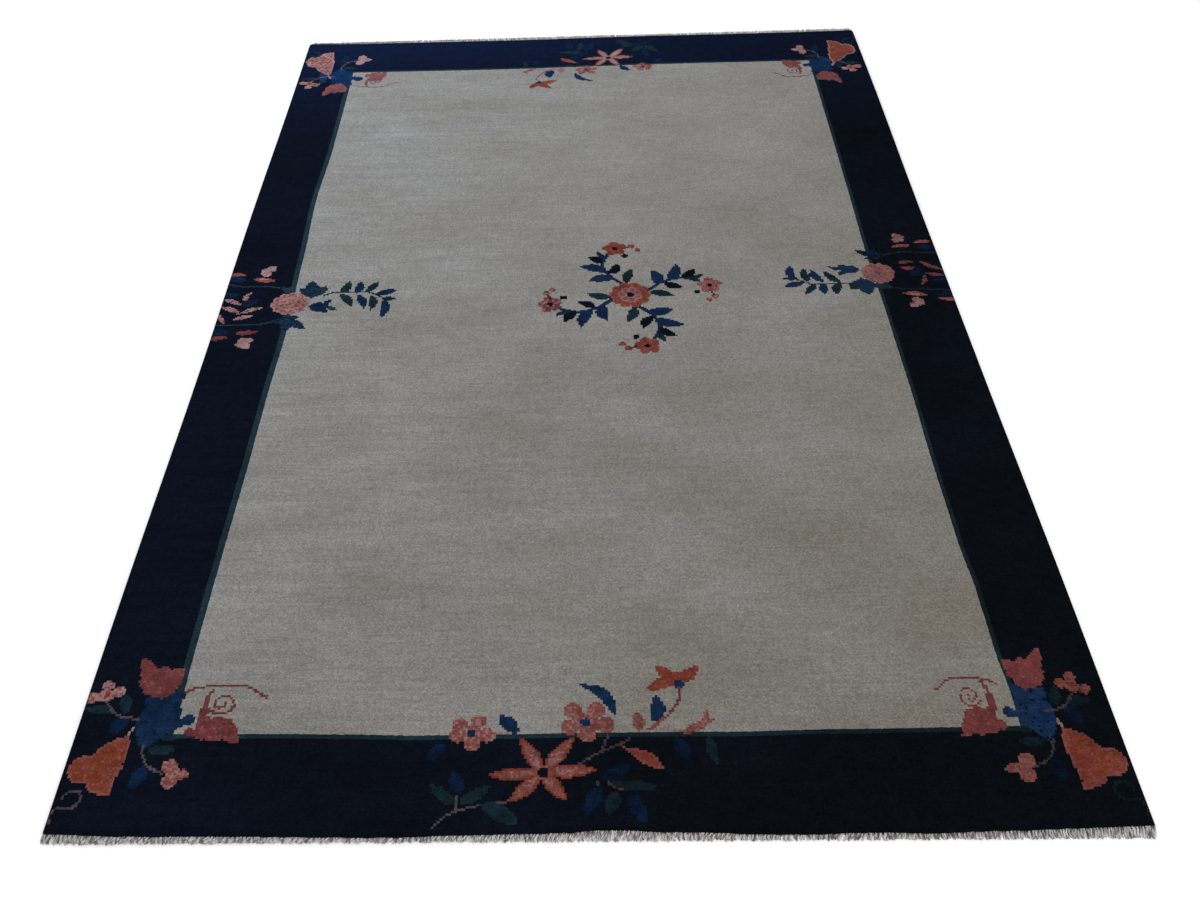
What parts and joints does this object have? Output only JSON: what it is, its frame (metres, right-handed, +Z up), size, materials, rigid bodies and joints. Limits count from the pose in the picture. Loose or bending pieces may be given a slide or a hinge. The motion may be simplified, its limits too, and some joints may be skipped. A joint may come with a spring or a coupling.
{
  "type": "chinese rug",
  "caption": "Rectangular hand-knotted wool rug with an ivory field, a navy floral border and a short cotton fringe along each end",
  "frame": {"origin": "on the floor under the middle of the whole length, fringes included", "axes": "+X to the rug's right, +Y along its length to the far end, +Z up"},
  "size_m": [1.5264, 2.4797, 0.01],
  "materials": {
    "wool_pile": "dense cut wool pile, ivory field and navy border",
    "cotton_fringe": "twisted unbleached cotton"
  },
  "bodies": {
    "root": {"rug": "wool_pile", "fringe_near": "cotton_fringe", "fringe_far": "cotton_fringe"}
  },
  "joints": []
}
